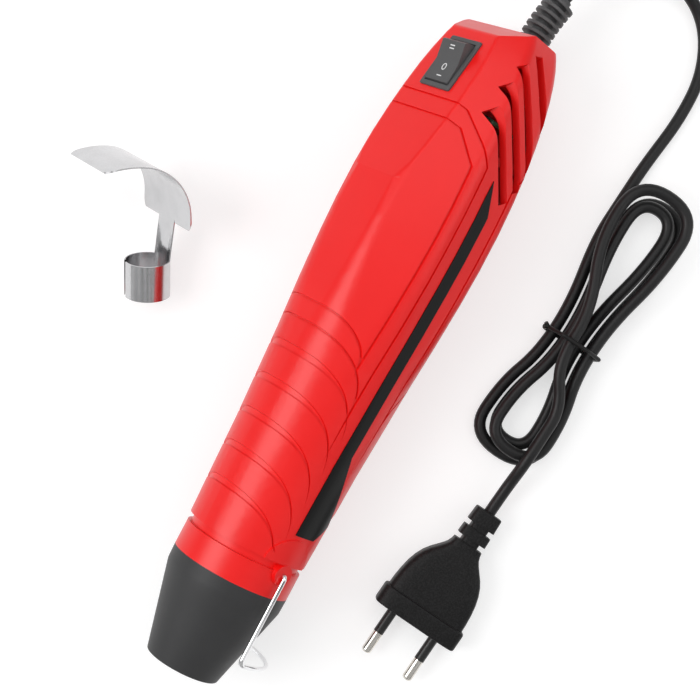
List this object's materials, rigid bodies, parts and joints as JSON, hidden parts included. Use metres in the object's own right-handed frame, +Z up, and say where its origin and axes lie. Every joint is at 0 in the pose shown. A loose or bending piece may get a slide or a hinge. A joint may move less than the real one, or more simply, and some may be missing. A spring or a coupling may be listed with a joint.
{
  "type": "embossing heat tool",
  "caption": "Hand-held hot-air embossing tool lying on its side, with a flared grip, round outlet, folding wire stand, rocker switch, tied mains cord with plug, and a loose reflector nozzle.",
  "frame": {"origin": "on the table, at the flat the belly rests on, straight under the tool's axis", "axes": "+X the way the hot air leaves, +Y towards the tied cord, +Z up from the table"},
  "size_m": [0.3125, 0.2159, 0.0578],
  "materials": {
    "red_shell": "satin moulded red plastic",
    "label_black": "thin black film, bare",
    "grey_shroud": "dark grey heat-proof plastic with a fine grain",
    "grey_switch": "dark grey moulded plastic",
    "steel_tube": "drawn steel",
    "reflector_steel": "bright rolled stainless sheet",
    "chromed_wire": "bright plated wire",
    "plated_screw": "zinc plated",
    "cord_sheath": "black cord sheath",
    "tie_black": "plastic coated wire tie",
    "plug_black": "black moulded plug",
    "pin_metal": "nickel plated brass",
    "mica": "pale mica board",
    "element_wire": "resistance wire",
    "inner_plastic": "black inner moulding",
    "board_green": "green circuit board",
    "component_black": "black moulded component",
    "brass_tab": "bare brass"
  },
  "bodies": {
    "tool": {"air_duct": "inner_plastic", "case_screw_1": "plated_screw", "case_screw_2": "plated_screw", "case_screw_3": "plated_screw", "case_screw_4": "plated_screw", "case_screw_5": "plated_screw", "case_screw_6": "plated_screw", "circuit_board": "board_green", "cord_hank": "cord_sheath", "cord_lead": "cord_sheath", "hank_tie": "tie_black", "heater_tube": "steel_tube", "heating_coil": "element_wire", "label_strip": "label_black", "lower_housing": "red_shell", "mica_board_level": "mica", "mica_board_upright": "mica", "mica_sleeve": "mica", "motor_can": "steel_tube", "motor_cap": "inner_plastic", "nozzle_shroud": "grey_shroud", "outlet_tube": "steel_tube", "pin_sleeve_1": "plug_black", "pin_sleeve_2": "plug_black", "plug_body": "plug_black", "plug_lead": "cord_sheath", "plug_pin_1": "pin_metal", "plug_pin_2": "pin_metal", "rectifier": "component_black", "reflector_nozzle": "reflector_steel", "strain_relief": "grey_switch", "switch_body": "grey_switch", "switch_terminal_1": "brass_tab", "switch_terminal_2": "brass_tab", "switch_terminal_3": "brass_tab", "upper_housing": "red_shell"},
    "fan": {"fan_wheel": "inner_plastic", "motor_shaft": "plated_screw"},
    "switch_rocker": {"rocker": "grey_switch"},
    "stand": {"wire_stand": "chromed_wire"}
  },
  "joints": [
    {"name": "fan_spin", "type": "hinge", "parent": "tool", "child": "fan", "pos_m": [0, 0, 0.0288], "axis": [1, 0, 0], "continuous": true},
    {"name": "rocker_tilt", "type": "hinge", "parent": "tool", "child": "switch_rocker", "pos_m": [-0.05382, -0.01372, 0.04252], "axis": [0, -0.7071, -0.7071], "range_deg": [0, 28]},
    {"name": "stand_swing", "type": "hinge", "parent": "tool", "child": "stand", "pos_m": [0.134, 0, 0.0288], "axis": [0, 0.7071, 0.7071], "range_deg": [0, 100]}
  ]
}
